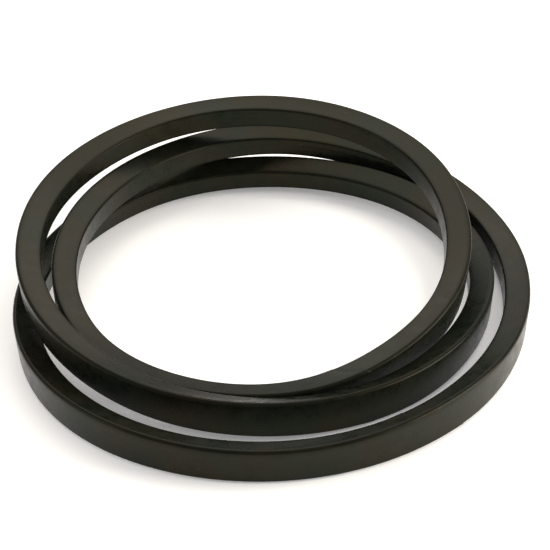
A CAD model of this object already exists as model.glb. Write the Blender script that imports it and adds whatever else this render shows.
"""A wrapped V-belt of B section, coiled into three turns as it is stored.
Metres, in the frame of the CAD model."""
import math
import bpy
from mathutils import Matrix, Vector


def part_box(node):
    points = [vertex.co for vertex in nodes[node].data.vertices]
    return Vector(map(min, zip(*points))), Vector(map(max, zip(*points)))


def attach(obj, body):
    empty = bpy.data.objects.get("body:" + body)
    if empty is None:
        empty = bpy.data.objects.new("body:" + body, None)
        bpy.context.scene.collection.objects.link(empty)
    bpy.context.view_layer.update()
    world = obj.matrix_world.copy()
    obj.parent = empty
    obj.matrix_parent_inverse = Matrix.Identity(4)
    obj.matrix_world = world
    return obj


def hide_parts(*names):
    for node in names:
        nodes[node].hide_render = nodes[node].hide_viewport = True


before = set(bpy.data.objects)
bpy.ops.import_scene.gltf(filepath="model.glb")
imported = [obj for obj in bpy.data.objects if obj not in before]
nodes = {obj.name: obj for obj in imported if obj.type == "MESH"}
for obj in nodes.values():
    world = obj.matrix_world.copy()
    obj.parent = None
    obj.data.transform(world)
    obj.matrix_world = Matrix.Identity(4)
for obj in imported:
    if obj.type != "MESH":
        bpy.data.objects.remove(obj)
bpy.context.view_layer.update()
MM = 0.001


# ---------------------------------------------------------------- compression rubber
# The hard wedge that fills the belt under the cord: chloroprene rubber with chopped
# fibre, calendered in sheets, laid up on a drum and cut to the wedge before curing.
def linear(hex_colour):
    """Linear RGBA of an sRGB hex colour."""
    channels = []
    for k in (0, 2, 4):
        c = int(hex_colour[k:k + 2], 16) / 255
        channels.append(c / 12.92 if c <= 0.04045 else ((c + 0.055) / 1.055) ** 2.4)
    return (*channels, 1.0)


def add(tree, kind, settings=None, links=None):
    """A node with its settings, and links from other nodes' sockets to its own. A
    setting is a property of the node if it has one of that name, or else an input."""
    node = tree.nodes.new(kind)
    for name, value in (settings or {}).items():
        if isinstance(name, str) and hasattr(node, name):
            setattr(node, name, value)
        else:
            node.inputs[name].default_value = value
    for name, socket in (links or {}).items():
        tree.links.new(socket, node.inputs[name])
    return node


def start_material(name):
    """A new material with an empty tree, its output and its object coordinates."""
    material = bpy.data.materials.new(name)
    material.use_nodes = True
    tree = material.node_tree
    tree.nodes.clear()
    output = add(tree, "ShaderNodeOutputMaterial")
    place = add(tree, "ShaderNodeTexCoord")
    return material, tree, output, place.outputs["Object"]


def noise(tree, kind, grain_size, place, settings=None):
    """A texture whose grains are about a given size."""
    return add(tree, kind, {"Scale": 1 / grain_size, **(settings or {})}, {"Vector": place})


def two_tones(tree, factor, dark, light, low=0.35, high=0.65):
    """A colour ramp from dark to light, between two values of the factor."""
    ramp = add(tree, "ShaderNodeValToRGB", links={"Fac": factor})
    ramp.color_ramp.elements[0].position = low
    ramp.color_ramp.elements[0].color = linear(dark)
    ramp.color_ramp.elements[1].position = high
    ramp.color_ramp.elements[1].color = linear(light)
    return ramp.outputs["Color"]


def fibre_loaded_chloroprene():
    """Black chloroprene rubber with chopped fibre: dull, with short pale flecks."""
    material, tree, output, place = start_material("fibre_loaded_chloroprene")
    fleck = noise(tree, "ShaderNodeTexVoronoi", 1.2 * MM, place, {"Randomness": 1.0})
    colour = two_tones(tree, fleck.outputs["Distance"], "3a3835", "191918", 0.05, 0.3)
    grain = noise(tree, "ShaderNodeTexNoise", 0.4 * MM, place, {"Detail": 3.0})
    bump = add(
        tree, "ShaderNodeBump",
        {"Distance": 0.05 * MM, "Strength": 0.6},
        {"Height": grain.outputs["Fac"]},
    )
    shader = add(
        tree, "ShaderNodeBsdfPrincipled",
        {"Roughness": 0.75, "IOR": 1.52},
        {"Base Color": colour, "Normal": bump.outputs["Normal"]},
    )
    tree.links.new(shader.outputs["BSDF"], output.inputs["Surface"])
    return material


def refinish(node_name, material):
    """Gives a CAD node its finished material."""
    mesh = nodes[node_name].data
    mesh.materials.clear()
    mesh.materials.append(material)


refinish("compression_rubber", fibre_loaded_chloroprene())


# ---------------------------------------------------------------- cushion rubber
# Soft, tacky gum laid over and under the cord, which bonds it to the harder rubber
# above and below. It flows round the cord in the cure, so it has the cord's tunnel.
def cushion_gum():
    """Unfilled adhesion gum: brown-black and a little glossier than the wedge."""
    material, tree, output, place = start_material("cushion_gum")
    cloud = noise(tree, "ShaderNodeTexNoise", 6 * MM, place, {"Detail": 4.0})
    colour = two_tones(tree, cloud.outputs["Fac"], "1f1b18", "2c2723")
    shader = add(
        tree, "ShaderNodeBsdfPrincipled",
        {"Roughness": 0.5, "IOR": 1.52},
        {"Base Color": colour},
    )
    tree.links.new(shader.outputs["BSDF"], output.inputs["Surface"])
    return material


refinish("cord_cushion_rubber", cushion_gum())


# ---------------------------------------------------------------- tensile cord
# One twisted polyester cord, dipped in adhesive and wound round and round the belt,
# pass beside pass. It carries the whole pull of the drive.
def dipped_polyester_cord():
    """Pale polyester with a brown adhesive dip, darker between its twisted plies."""
    material, tree, output, place = start_material("dipped_polyester_cord")
    band_scale = 0.31 / (3 * MM)  # bands 3.5 mm apart, about one turn of a ply
    plies = add(
        tree, "ShaderNodeTexWave",
        {"bands_direction": "DIAGONAL", "Scale": band_scale, "Distortion": 1.0},
        {"Vector": place},
    )
    colour = two_tones(tree, plies.outputs["Fac"], "7a6a4c", "c9bb98", 0.1, 0.7)
    bump = add(tree, "ShaderNodeBump", {"Distance": 0.1 * MM}, {"Height": plies.outputs["Fac"]})
    shader = add(
        tree, "ShaderNodeBsdfPrincipled",
        {"Roughness": 0.55, "IOR": 1.55},
        {"Base Color": colour, "Normal": bump.outputs["Normal"]},
    )
    tree.links.new(shader.outputs["BSDF"], output.inputs["Surface"])
    return material


refinish("tensile_cord", dipped_polyester_cord())


# ---------------------------------------------------------------- tension rubber
# A flexible sheet of rubber over the cord. It stretches where the belt bends round a
# pulley, and keeps the cord level from flank to flank.
def carbon_filled_rubber():
    """Carbon-black filled chloroprene: even, dull and nearly black."""
    material, tree, output, place = start_material("carbon_filled_rubber")
    cloud = noise(tree, "ShaderNodeTexNoise", 3 * MM, place, {"Detail": 5.0})
    colour = two_tones(tree, cloud.outputs["Fac"], "161616", "212120")
    shader = add(
        tree, "ShaderNodeBsdfPrincipled",
        {"Roughness": 0.68, "IOR": 1.52},
        {"Base Color": colour},
    )
    tree.links.new(shader.outputs["BSDF"], output.inputs["Surface"])
    return material


refinish("tension_rubber", carbon_filled_rubber())


# ---------------------------------------------------------------- inner cover cloth
# First of two wraps of bias-cut cloth, coated on both sides with rubber. Its edges
# meet along the middle of the back, under the second wrap.
WAVE_PERIOD = math.pi / 10  # of a wave texture at scale 1


def raw_rubberised_cloth():
    """Cloth under its rubber skim: black-brown, with the threads showing through."""
    material, tree, output, place = start_material("raw_rubberised_cloth")
    pitch = 0.9 * MM
    threads = add(
        tree, "ShaderNodeTexWave",
        {"Scale": WAVE_PERIOD / pitch, "Distortion": 0.6},
        {"Vector": place},
    )
    colour = two_tones(tree, threads.outputs["Fac"], "211f1b", "35322b", 0.2, 0.8)
    bump = add(tree, "ShaderNodeBump", {"Distance": 0.05 * MM}, {"Height": threads.outputs["Fac"]})
    shader = add(
        tree, "ShaderNodeBsdfPrincipled",
        {"Roughness": 0.7, "IOR": 1.5},
        {"Base Color": colour, "Normal": bump.outputs["Normal"]},
    )
    tree.links.new(shader.outputs["BSDF"], output.inputs["Surface"])
    return material


inner_cloth = raw_rubberised_cloth()
for node_name in sorted(nodes):
    if node_name.startswith("inner_cover_cloth"):
        refinish(node_name, inner_cloth)


# ---------------------------------------------------------------- outer cover cloth
# The jacket that shows: the second wrap of rubberised bias cloth, lapped along the
# base, spliced on the slant from three lengths and cured hard against a smooth mould.

# How the belt lies, one row for every twelfth of a turn, clockwise from the far side:
# radius from the middle of the coil and height, in millimetres, and lean in degrees.
LAY = [
    # first turn: the top strand, which drops inside the others
    (108, 45.5, 1), (97, 41.0, -8), (83, 34.0, -2), (75, 25.5, -8),
    (75, 18.0, -4), (76, 11.5, -17), (89, 7.5, -11), (97, 9.0, -8),
    (101, 11.0, -7), (100, 20.5, -1), (102, 24.5, 1), (109, 26.0, -12),
    # second turn: from the middle strand to the outer one, flat on the floor
    (124, 24.0, 10), (121, 14.5, -1), (109, 8.5, -14), (102, 8.0, -1),
    (105, 8.0, -7), (116, 8.0, 10), (132, 8.5, -12), (135, 9.0, 1),
    (124, 8.0, -9), (114, 8.5, -1), (112, 7.0, 3), (117, 7.5, 5),
    # third turn: the lowest inner strand, which climbs the left side to the top
    (113, 8.5, 6), (106, 8.5, 5), (93, 8.5, 4), (87, 9.5, -3),
    (86, 10.0, -6), (92, 8.0, 5), (102, 10.0, 3), (111, 13.5, -3),
    (116, 23.5, -13), (115, 30.5, 0), (119, 35.0, 4), (116, 42.5, -13),
]
FULL_LAY = 1080.0  # degrees, three turns


def lay_at(turn_angle):
    """Radius, height and lean at an angle along the belt, a uniform cubic blend of the
    four rows about it."""
    place = turn_angle / FULL_LAY * len(LAY)
    first = math.floor(place)
    t = place - first
    weights = (
        (1 - t) ** 3 / 6,
        (3 * t**3 - 6 * t**2 + 4) / 6,
        (-3 * t**3 + 3 * t**2 + 3 * t + 1) / 6,
        t**3 / 6,
    )
    rows = [LAY[(first + k) % len(LAY)] for k in (-1, 0, 1, 2)]
    radius, height, lean = [sum(w * row[i] for w, row in zip(weights, rows)) for i in range(3)]
    return radius * MM, height * MM, math.radians(lean)


def middle_at(turn_angle):
    """Middle of the belt's section at an angle along the belt."""
    radius, height, _ = lay_at(turn_angle)
    bearing = math.radians(turn_angle)
    return Vector((radius * math.sin(bearing), radius * math.cos(bearing), height))


def section_at(turn_angle):
    """Middle of the section, direction of the back, and direction across the belt."""
    lean = lay_at(turn_angle)[2]
    half_degree = 0.5
    along = (middle_at(turn_angle + half_degree) - middle_at(turn_angle - half_degree)).normalized()
    outward = Vector((0, 0, 1)).cross(along).normalized()
    upward = along.cross(outward)
    back = outward * math.cos(lean) + upward * math.sin(lean)
    across = upward * math.cos(lean) - outward * math.sin(lean)
    return middle_at(turn_angle), back, across


# The section: x towards the back, y across the belt, its middle at the origin.
TOP_WIDTH = 17 * MM
DEPTH = 11 * MM
FLANK_SLOPE = math.radians(20)
SKIN_DEPTH = 0.552 * MM  # of the mesh's inside, which stays clear of the inner cloth at 0.6 mm
BACK_EDGE_RADIUS = 1.3 * MM
BASE_EDGE_RADIUS = 1.1 * MM
FOLD_RADIUS = 0.25 * MM
FLANK_HOLLOW = 0.1 * MM
LAP_HALF = 1.0 * MM  # from the middle of the base to where each end of the lap lies
LAP_GROOVE = 0.1 * MM


def half_width_at(depth):
    """Half the width of the wedge at a depth under the back."""
    return TOP_WIDTH / 2 - depth * math.tan(FLANK_SLOPE)


def corner_points(inset, side):
    """Corner of the base and corner of the back on one side, moved in by inset."""
    corners = []
    for depth in (DEPTH - inset, inset):
        half_width = half_width_at(depth) - inset / math.cos(FLANK_SLOPE)
        corners.append(Vector((DEPTH / 2 - depth, side * half_width)))
    return corners


def rounded_corner(before, corner, after, radius, steps):
    """Points of the arc that rounds a corner."""
    to_start = (before - corner).normalized()
    to_end = (after - corner).normalized()
    half_angle = to_start.angle(to_end) / 2
    centre = corner + (to_start + to_end).normalized() * (radius / math.sin(half_angle))
    first = corner + to_start * (radius / math.tan(half_angle)) - centre
    last = corner + to_end * (radius / math.tan(half_angle)) - centre
    sweep = first.angle(last)
    points = []
    for i in range(steps + 1):
        t = i / steps
        spoke = first * math.sin((1 - t) * sweep) + last * math.sin(t * sweep)
        points.append(centre + spoke / math.sin(sweep))
    return points


def wrap_path(inset, lap_place, corner_steps, flat_steps):
    """Once round the section from the lap to the lap: points and wear of each edge."""
    base_minus, back_minus = corner_points(inset, -1)
    base_plus, back_plus = corner_points(inset, 1)
    lap_minus = Vector((base_minus.x, lap_place - LAP_GROOVE / 2))
    lap_plus = Vector((base_minus.x, lap_place + LAP_GROOVE / 2))
    base_radius = max(BASE_EDGE_RADIUS - inset, FOLD_RADIUS)
    back_radius = max(BACK_EDGE_RADIUS - inset, FOLD_RADIUS)
    arcs = [
        rounded_corner(lap_minus, base_minus, back_minus, base_radius, corner_steps),
        rounded_corner(base_minus, back_minus, back_plus, back_radius, corner_steps),
        rounded_corner(back_minus, back_plus, base_plus, back_radius, corner_steps),
        rounded_corner(back_plus, base_plus, lap_plus, base_radius, corner_steps),
    ]
    points = [lap_minus]
    wear = [0.0]
    start = lap_minus
    for arc in arcs + [[lap_plus]]:
        for i in range(1, flat_steps):
            t = i / flat_steps
            points.append(start.lerp(arc[0], t))
            wear.append(0.0)
        for i, point in enumerate(arc):
            points.append(point)
            wear.append(math.sin(math.pi * (i + 1) / (len(arc) + 1)) if len(arc) > 1 else 0.0)
        start = arc[-1]
    return points, wear


def distances_along(points):
    """How far along its path each point lies."""
    distances = [0.0]
    for before, after in zip(points, points[1:]):
        distances.append(distances[-1] + (after - before).length)
    return distances


def hollow_flanks(points, wear):
    """Draws the flat of each flank in, most of all at the middle of it."""
    tolerance = 0.02 * MM
    for point, worn in zip(points, wear):
        on_flank = abs(point.y) > half_width_at(DEPTH / 2 - point.x) - tolerance
        if on_flank and worn == 0.0:
            share = (point.x + DEPTH / 2) / DEPTH
            point.y -= math.copysign(FLANK_HOLLOW * math.sin(math.pi * share), point.y)


outside, outside_wear = wrap_path(0.0, LAP_HALF, corner_steps=7, flat_steps=7)
inside, inside_wear = wrap_path(SKIN_DEPTH, -LAP_HALF, corner_steps=3, flat_steps=4)
girth = distances_along(outside)
hollow_flanks(outside, outside_wear)

SPLICES = (135.0, 495.0, 870.0)  # degrees along the belt, where the lengths of cloth meet
SPLICE_LENGTH = 7 * MM
SPLICE_HEIGHT = 0.16 * MM


def stations():
    """Angles along the belt of the mesh's sections, closer together at a splice, which
    slants over about the next thirty degrees as it goes round the section."""
    before_splice, after_splice = -3, 32
    fine_step, coarse_step = 0.25, 1.0
    angles = []
    angle = 0.0
    while angle < FULL_LAY:
        angles.append(angle)
        at_splice = any(before_splice < angle - splice < after_splice for splice in SPLICES)
        angle += fine_step if at_splice else coarse_step
    return angles


def splice_rise(along, around, starts):
    """How far a splice lifts the cloth: a crisp edge, then a feathered one."""
    crisp_share = 0.06
    feathering = 0.7
    for start in starts:
        t = (along - start - around) / SPLICE_LENGTH
        if 0 < t < 1:
            return SPLICE_HEIGHT * min(1.0, t / crisp_share) * (1 - t) ** feathering
    return 0.0


angles = stations()
sections = [section_at(angle) for angle in angles]
travel = distances_along([section[0] for section in sections + sections[:1]])
belt_length = travel[-1]
splice_starts = []
for splice in SPLICES:
    nearest = min(range(len(angles)), key=lambda i: abs(angles[i] - splice))
    splice_starts.append(travel[nearest])


def loft_vertices():
    """Points of the jacket's outside and inside at every station along the belt."""
    vertices = []
    for along, (centre, back, across) in zip(travel, sections):
        for point, around in zip(outside, girth):
            spot = point * (1 + splice_rise(along, around, splice_starts) / point.length)
            vertices.append(centre + back * spot.x + across * spot.y)
        for spot in reversed(inside):
            vertices.append(centre + back * spot.x + across * spot.y)
    return vertices


def shift_onto(node_names, vertices):
    """Move that brings the vertices to the middle and the foot of the CAD nodes."""
    boxes = [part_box(name) for name in node_names]
    gaps = []
    for k in range(3):
        own = [vertex[k] for vertex in vertices]
        node_low = min(box[0][k] for box in boxes)
        node_high = max(box[1][k] for box in boxes)
        gaps.append((node_low - min(own), node_high - max(own)))
    return Vector((sum(gaps[0]) / 2, sum(gaps[1]) / 2, gaps[2][0]))


def loft_faces(ring_size):
    """Quads between neighbouring rings, and the place on the cloth of each corner."""
    inner_girth = [girth[-1] * i / (len(inside) - 1) for i in range(len(inside))]
    ring_girth = girth + inner_girth[::-1]
    faces = []
    cloth_places = []
    for i in range(len(angles)):
        ring = i * ring_size
        next_ring = (i + 1) % len(angles) * ring_size
        for j in range(ring_size):
            beside = (j + 1) % ring_size
            faces.append((ring + j, next_ring + j, next_ring + beside, ring + beside))
            for station, spoke in ((i, j), (i + 1, j), (i + 1, beside), (i, beside)):
                cloth_places.append((travel[station], ring_girth[spoke]))
    return faces, cloth_places


outer_lengths = sorted(name for name in nodes if name.startswith("outer_cover_cloth"))
vertices = loft_vertices()
shift = shift_onto(outer_lengths, vertices)
faces, cloth_places = loft_faces(len(outside) + len(inside))
jacket_mesh = bpy.data.meshes.new("belt_jacket")
jacket_mesh.from_pydata([vertex + shift for vertex in vertices], [], faces)
cloth_map = jacket_mesh.uv_layers.new(name="cloth")
for loop, cloth_place in zip(cloth_map.data, cloth_places):
    loop.uv = cloth_place
wear_values = jacket_mesh.attributes.new("edge_wear", "FLOAT", "POINT")
wear_values.data.foreach_set("value", (outside_wear + inside_wear[::-1]) * len(angles))
jacket_mesh.polygons.foreach_set("use_smooth", [True] * len(faces))
sharpest_smooth_edge = math.radians(50)
jacket_mesh.set_sharp_from_angle(angle=sharpest_smooth_edge)
jacket_mesh.update()
belt_jacket = bpy.data.objects.new("belt_jacket", jacket_mesh)
bpy.context.scene.collection.objects.link(belt_jacket)


def bias_weave(tree):
    """Height of threads that cross on the slant, and meet again where the loop ends."""
    cloth = add(tree, "ShaderNodeUVMap", {"uv_map": "cloth"})
    thread_pitch = 0.9 * MM  # twice that of the real threads, so that they show
    crossings = round(belt_length / (math.sqrt(2) * thread_pitch))
    fitted_pitch = belt_length / (math.sqrt(2) * crossings)
    threads = []
    for slant in (45, -45):
        turned = add(
            tree, "ShaderNodeMapping",
            {"Rotation": (0, 0, math.radians(slant))},
            {"Vector": cloth.outputs["UV"]},
        )
        wave = add(
            tree, "ShaderNodeTexWave",
            {"Scale": WAVE_PERIOD / fitted_pitch},
            {"Vector": turned.outputs["Vector"]},
        )
        threads.append(wave.outputs["Fac"])
    higher = add(tree, "ShaderNodeMath", {"operation": "MAXIMUM"}, {0: threads[0], 1: threads[1]})
    return higher.outputs[0]


def ranged(tree, value, to_min, to_max, from_min=0.0, from_max=1.0):
    """A value brought from one range to another, and held inside it."""
    settings = {"From Min": from_min, "From Max": from_max, "To Min": to_min, "To Max": to_max}
    return add(tree, "ShaderNodeMapRange", settings, {"Value": value}).outputs["Result"]


def layered(tree, factor, below, above):
    """A plain colour laid over a varying one by the factor."""
    mix = add(tree, "ShaderNodeMix", {"data_type": "RGBA"})
    factor_input, below_input, above_input, colour_output = 0, 6, 7, 2
    tree.links.new(factor, mix.inputs[factor_input])
    tree.links.new(below, mix.inputs[below_input])
    mix.inputs[above_input].default_value = above
    return mix.outputs[colour_output]


def bias_cloth_jacket():
    """Cotton-polyester bias cloth, rubberised and cured against a smooth mould: a thin
    waxy black skin whose threads just show on the slant, with brown and green bloom,
    dulled edges and a trace of mould dust."""
    material, tree, output, place = start_material("rubberised_bias_cloth")
    weave = bias_weave(tree)

    # sulphur and wax bloom: clouds of brown and green over the black, and in its sheen
    bloom = noise(tree, "ShaderNodeTexNoise", 30 * MM, place, {"Detail": 2.0})
    body = two_tones(tree, bloom.outputs["Fac"], "13130d", "0d120c", 0.4, 0.6)
    skin_tint = two_tones(tree, bloom.outputs["Fac"], "ffecc4", "e8f2d6", 0.38, 0.62)

    # smears, which also change how smooth the skin is, and the shade between threads
    smear_settings = {"Detail": 5.0, "Roughness": 0.6}
    smear = noise(tree, "ShaderNodeTexNoise", 6 * MM, place, smear_settings).outputs["Fac"]
    body = layered(tree, ranged(tree, smear, 0.0, 0.7, 0.42, 0.68), body, linear("191b14"))
    body = layered(tree, ranged(tree, weave, 0.35, 0.0), body, linear("050505"))
    roughness = ranged(tree, smear, 0.24, 0.36, 0.35, 0.65)

    # edges rubbed paler and duller
    edge = add(tree, "ShaderNodeAttribute", {"attribute_name": "edge_wear"}).outputs["Fac"]
    rub = add(tree, "ShaderNodeMath", {"operation": "MULTIPLY"}, {0: edge, 1: smear}).outputs[0]
    body = layered(tree, rub, body, linear("151410"))
    sheen = ranged(tree, edge, 0.2, 0.05)

    # specks of mould dust
    speck = noise(tree, "ShaderNodeTexNoise", 1.3 * MM, place, {"Detail": 1.0}).outputs["Fac"]
    body = layered(tree, ranged(tree, speck, 0.0, 0.2, 0.76, 0.82), body, linear("6f6a5e"))

    # relief of the weave and of finer grit
    weave_share = 0.6
    grit = noise(tree, "ShaderNodeTexNoise", 0.9 * MM, place, {"Detail": 2.0}).outputs["Fac"]
    relief = add(
        tree, "ShaderNodeMath",
        {"operation": "MULTIPLY_ADD", 1: weave_share},
        {0: weave, 2: grit},
    )
    bump = add(
        tree, "ShaderNodeBump",
        {"Distance": 0.05 * MM, "Strength": 0.35},
        {"Height": relief.outputs[0]},
    )
    shader = add(
        tree, "ShaderNodeBsdfPrincipled",
        {"IOR": 1.5},
        {
            "Base Color": body,
            "Roughness": roughness,
            "Specular IOR Level": sheen,
            "Specular Tint": skin_tint,
            "Normal": bump.outputs["Normal"],
        },
    )
    tree.links.new(shader.outputs["BSDF"], output.inputs["Surface"])
    return material


jacket_mesh.materials.append(bias_cloth_jacket())
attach(belt_jacket, "root")
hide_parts(*outer_lengths)


# ---------------------------------------------------------------- floor, light, camera
# A pale floor under soft studio light: a wide softbox overhead and behind, one low at
# each side, and an even grey-white room round them.
FLOOR_SIZE = 12.0
bpy.ops.mesh.primitive_plane_add(size=FLOOR_SIZE, location=(0, FLOOR_SIZE / 4, 0))
floor = bpy.context.object
floor.name = "floor"


def pale_floor():
    """Matt near-white board, faintly lit from below like a light table, which keeps
    the shadows in the narrow gaps pale."""
    material, tree, output, place = start_material("pale_painted_board")
    mottle = add(tree, "ShaderNodeTexNoise", {"Scale": 6.0}, {"Vector": place})
    colour = two_tones(tree, mottle.outputs["Fac"], "f4f4f4", "f7f7f7")
    shader = add(
        tree, "ShaderNodeBsdfPrincipled",
        {"Roughness": 0.9, "Emission Color": linear("ffffff"), "Emission Strength": 0.22},
        {"Base Color": colour},
    )
    tree.links.new(shader.outputs["BSDF"], output.inputs["Surface"])
    return material


floor.data.materials.append(pale_floor())


def softbox(name, place, aim, size, watts):
    """A square area light, slightly warm, at a place and turned towards an aim."""
    light = bpy.data.lights.new(name, "AREA")
    light.shape = "SQUARE"
    light.size = size
    light.energy = watts
    light.color = linear("fff6ea")[:3]
    lamp = bpy.data.objects.new(name, light)
    bpy.context.scene.collection.objects.link(lamp)
    lamp.location = place
    lamp.rotation_euler = (Vector(aim) - Vector(place)).to_track_quat("-Z", "Y").to_euler()


softbox("overhead_softbox", place=(0, 0.5, 0.95), aim=(0, 0, 0), size=1.4, watts=9)
softbox("left_softbox", place=(-0.9, -0.2, 0.35), aim=(-0.1, 0, 0), size=0.5, watts=3)
softbox("right_softbox", place=(0.9, -0.1, 0.3), aim=(0.1, 0, 0), size=0.6, watts=13)

world = bpy.data.worlds.new("studio")
world.use_nodes = True
room = world.node_tree.nodes["Background"].inputs
room["Color"].default_value = linear("ffffff")
room["Strength"].default_value = 0.55
bpy.context.scene.world = world
bpy.context.scene.view_settings.view_transform = "Standard"

AIM = Vector((0.0002, 0.0309, 0.0004))
DISTANCE = 0.8646
ELEVATION = math.radians(30.63)
camera_data = bpy.data.cameras.new("camera")
camera_data.sensor_width = 36.0
camera_data.lens = 120.3
camera = bpy.data.objects.new("camera", camera_data)
bpy.context.scene.collection.objects.link(camera)
camera.location = AIM + Vector((0, -math.cos(ELEVATION), math.sin(ELEVATION))) * DISTANCE
camera.rotation_euler = (AIM - camera.location).to_track_quat("-Z", "Y").to_euler()
bpy.context.scene.camera = camera
